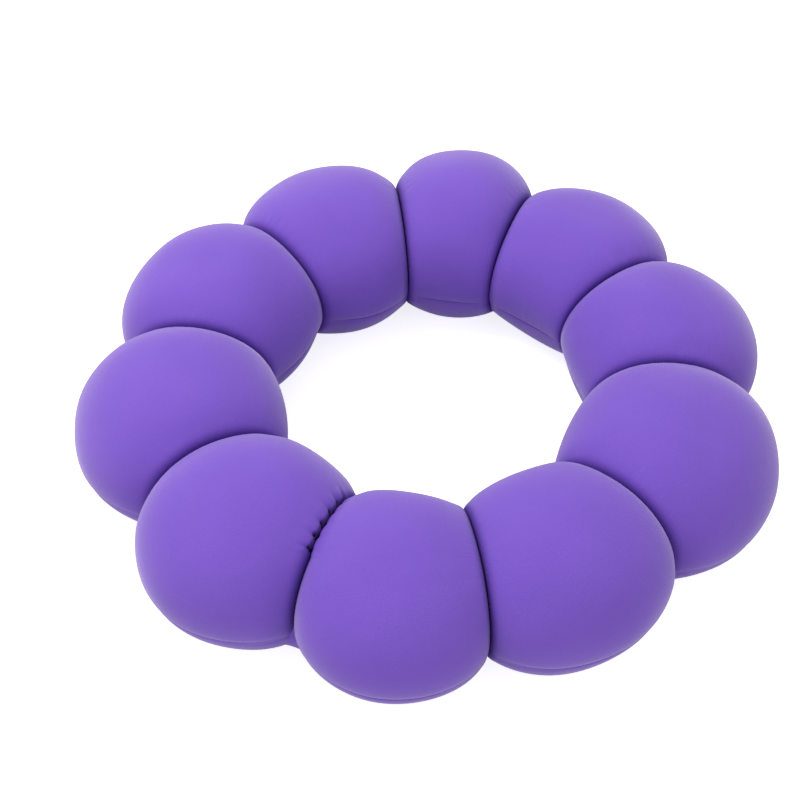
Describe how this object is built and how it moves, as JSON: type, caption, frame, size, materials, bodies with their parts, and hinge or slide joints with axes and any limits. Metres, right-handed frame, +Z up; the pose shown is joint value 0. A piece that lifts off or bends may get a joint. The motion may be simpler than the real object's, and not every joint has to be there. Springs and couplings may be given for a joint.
{
  "type": "lobed ring seat cushion",
  "caption": "Round ring seat cushion of plump stuffed lobes in taut purple knit, with deep sewn grooves between the lobes and an open centre.",
  "frame": {"origin": "centre of the ring, on the plane the cushion rests on", "axes": "+Z up; the Y axis is the fold line through two opposite grooves, with the hand-closed seam on its -Y side; +X towards lobe 3"},
  "size_m": [0.4464, 0.44, 0.0988],
  "materials": {
    "cushion_fabric": "fine stretch knit, violet purple, matte with a soft sheen at grazing angles",
    "divider_fabric": "plain woven lining in the same purple, matte",
    "fibre_filling": "off-white polyester fibre, fluffy and matte",
    "sewing_thread": "twisted polyester thread, dark purple"
  },
  "bodies": {
    "right_half": {"base_panel_right": "cushion_fabric", "filling_01": "fibre_filling", "filling_02": "fibre_filling", "filling_03": "fibre_filling", "filling_04": "fibre_filling", "filling_05": "fibre_filling", "divider_01": "divider_fabric", "divider_02": "divider_fabric", "divider_03": "divider_fabric", "divider_04": "divider_fabric", "divider_05": "divider_fabric", "divider_06": "divider_fabric"},
    "left_half": {"base_panel_left": "cushion_fabric", "filling_06": "fibre_filling", "filling_07": "fibre_filling", "filling_08": "fibre_filling", "filling_09": "fibre_filling", "filling_10": "fibre_filling", "divider_07": "divider_fabric", "divider_08": "divider_fabric", "divider_09": "divider_fabric", "divider_10": "divider_fabric"},
    "crown_01": {"upper_panel_01": "cushion_fabric"},
    "crown_02": {"upper_panel_02": "cushion_fabric"},
    "crown_03": {"upper_panel_03": "cushion_fabric"},
    "crown_04": {"upper_panel_04": "cushion_fabric"},
    "crown_05": {"upper_panel_05": "cushion_fabric"},
    "crown_06": {"upper_panel_06": "cushion_fabric"},
    "crown_07": {"upper_panel_07": "cushion_fabric"},
    "crown_08": {"upper_panel_08": "cushion_fabric"},
    "crown_09": {"upper_panel_09": "cushion_fabric"},
    "crown_10": {"upper_panel_10": "cushion_fabric", "closing_thread": "sewing_thread"}
  },
  "joints": [
    {"name": "fold", "type": "hinge", "parent": "right_half", "child": "left_half", "pos_m": [0, 0, 0.083], "axis": [0, 1, 0], "range_deg": [0, 35], "stiffness_Nm_per_rad": 0.4},
    {"name": "press_01", "type": "slide", "parent": "right_half", "child": "crown_01", "axis": [0, 0, -1], "range_m": [0, 0.025], "stiffness_N_per_m": 1200, "deforming": ["filling_01"]},
    {"name": "press_02", "type": "slide", "parent": "right_half", "child": "crown_02", "axis": [0, 0, -1], "range_m": [0, 0.025], "stiffness_N_per_m": 1200, "deforming": ["filling_02"]},
    {"name": "press_03", "type": "slide", "parent": "right_half", "child": "crown_03", "axis": [0, 0, -1], "range_m": [0, 0.025], "stiffness_N_per_m": 1200, "deforming": ["filling_03"]},
    {"name": "press_04", "type": "slide", "parent": "right_half", "child": "crown_04", "axis": [0, 0, -1], "range_m": [0, 0.025], "stiffness_N_per_m": 1200, "deforming": ["filling_04"]},
    {"name": "press_05", "type": "slide", "parent": "right_half", "child": "crown_05", "axis": [0, 0, -1], "range_m": [0, 0.025], "stiffness_N_per_m": 1200, "deforming": ["filling_05"]},
    {"name": "press_06", "type": "slide", "parent": "left_half", "child": "crown_06", "axis": [0, 0, -1], "range_m": [0, 0.025], "stiffness_N_per_m": 1200, "deforming": ["filling_06"]},
    {"name": "press_07", "type": "slide", "parent": "left_half", "child": "crown_07", "axis": [0, 0, -1], "range_m": [0, 0.025], "stiffness_N_per_m": 1200, "deforming": ["filling_07"]},
    {"name": "press_08", "type": "slide", "parent": "left_half", "child": "crown_08", "axis": [0, 0, -1], "range_m": [0, 0.025], "stiffness_N_per_m": 1200, "deforming": ["filling_08"]},
    {"name": "press_09", "type": "slide", "parent": "left_half", "child": "crown_09", "axis": [0, 0, -1], "range_m": [0, 0.025], "stiffness_N_per_m": 1200, "deforming": ["filling_09"]},
    {"name": "press_10", "type": "slide", "parent": "left_half", "child": "crown_10", "axis": [0, 0, -1], "range_m": [0, 0.025], "stiffness_N_per_m": 1200, "deforming": ["filling_10"]}
  ]
}
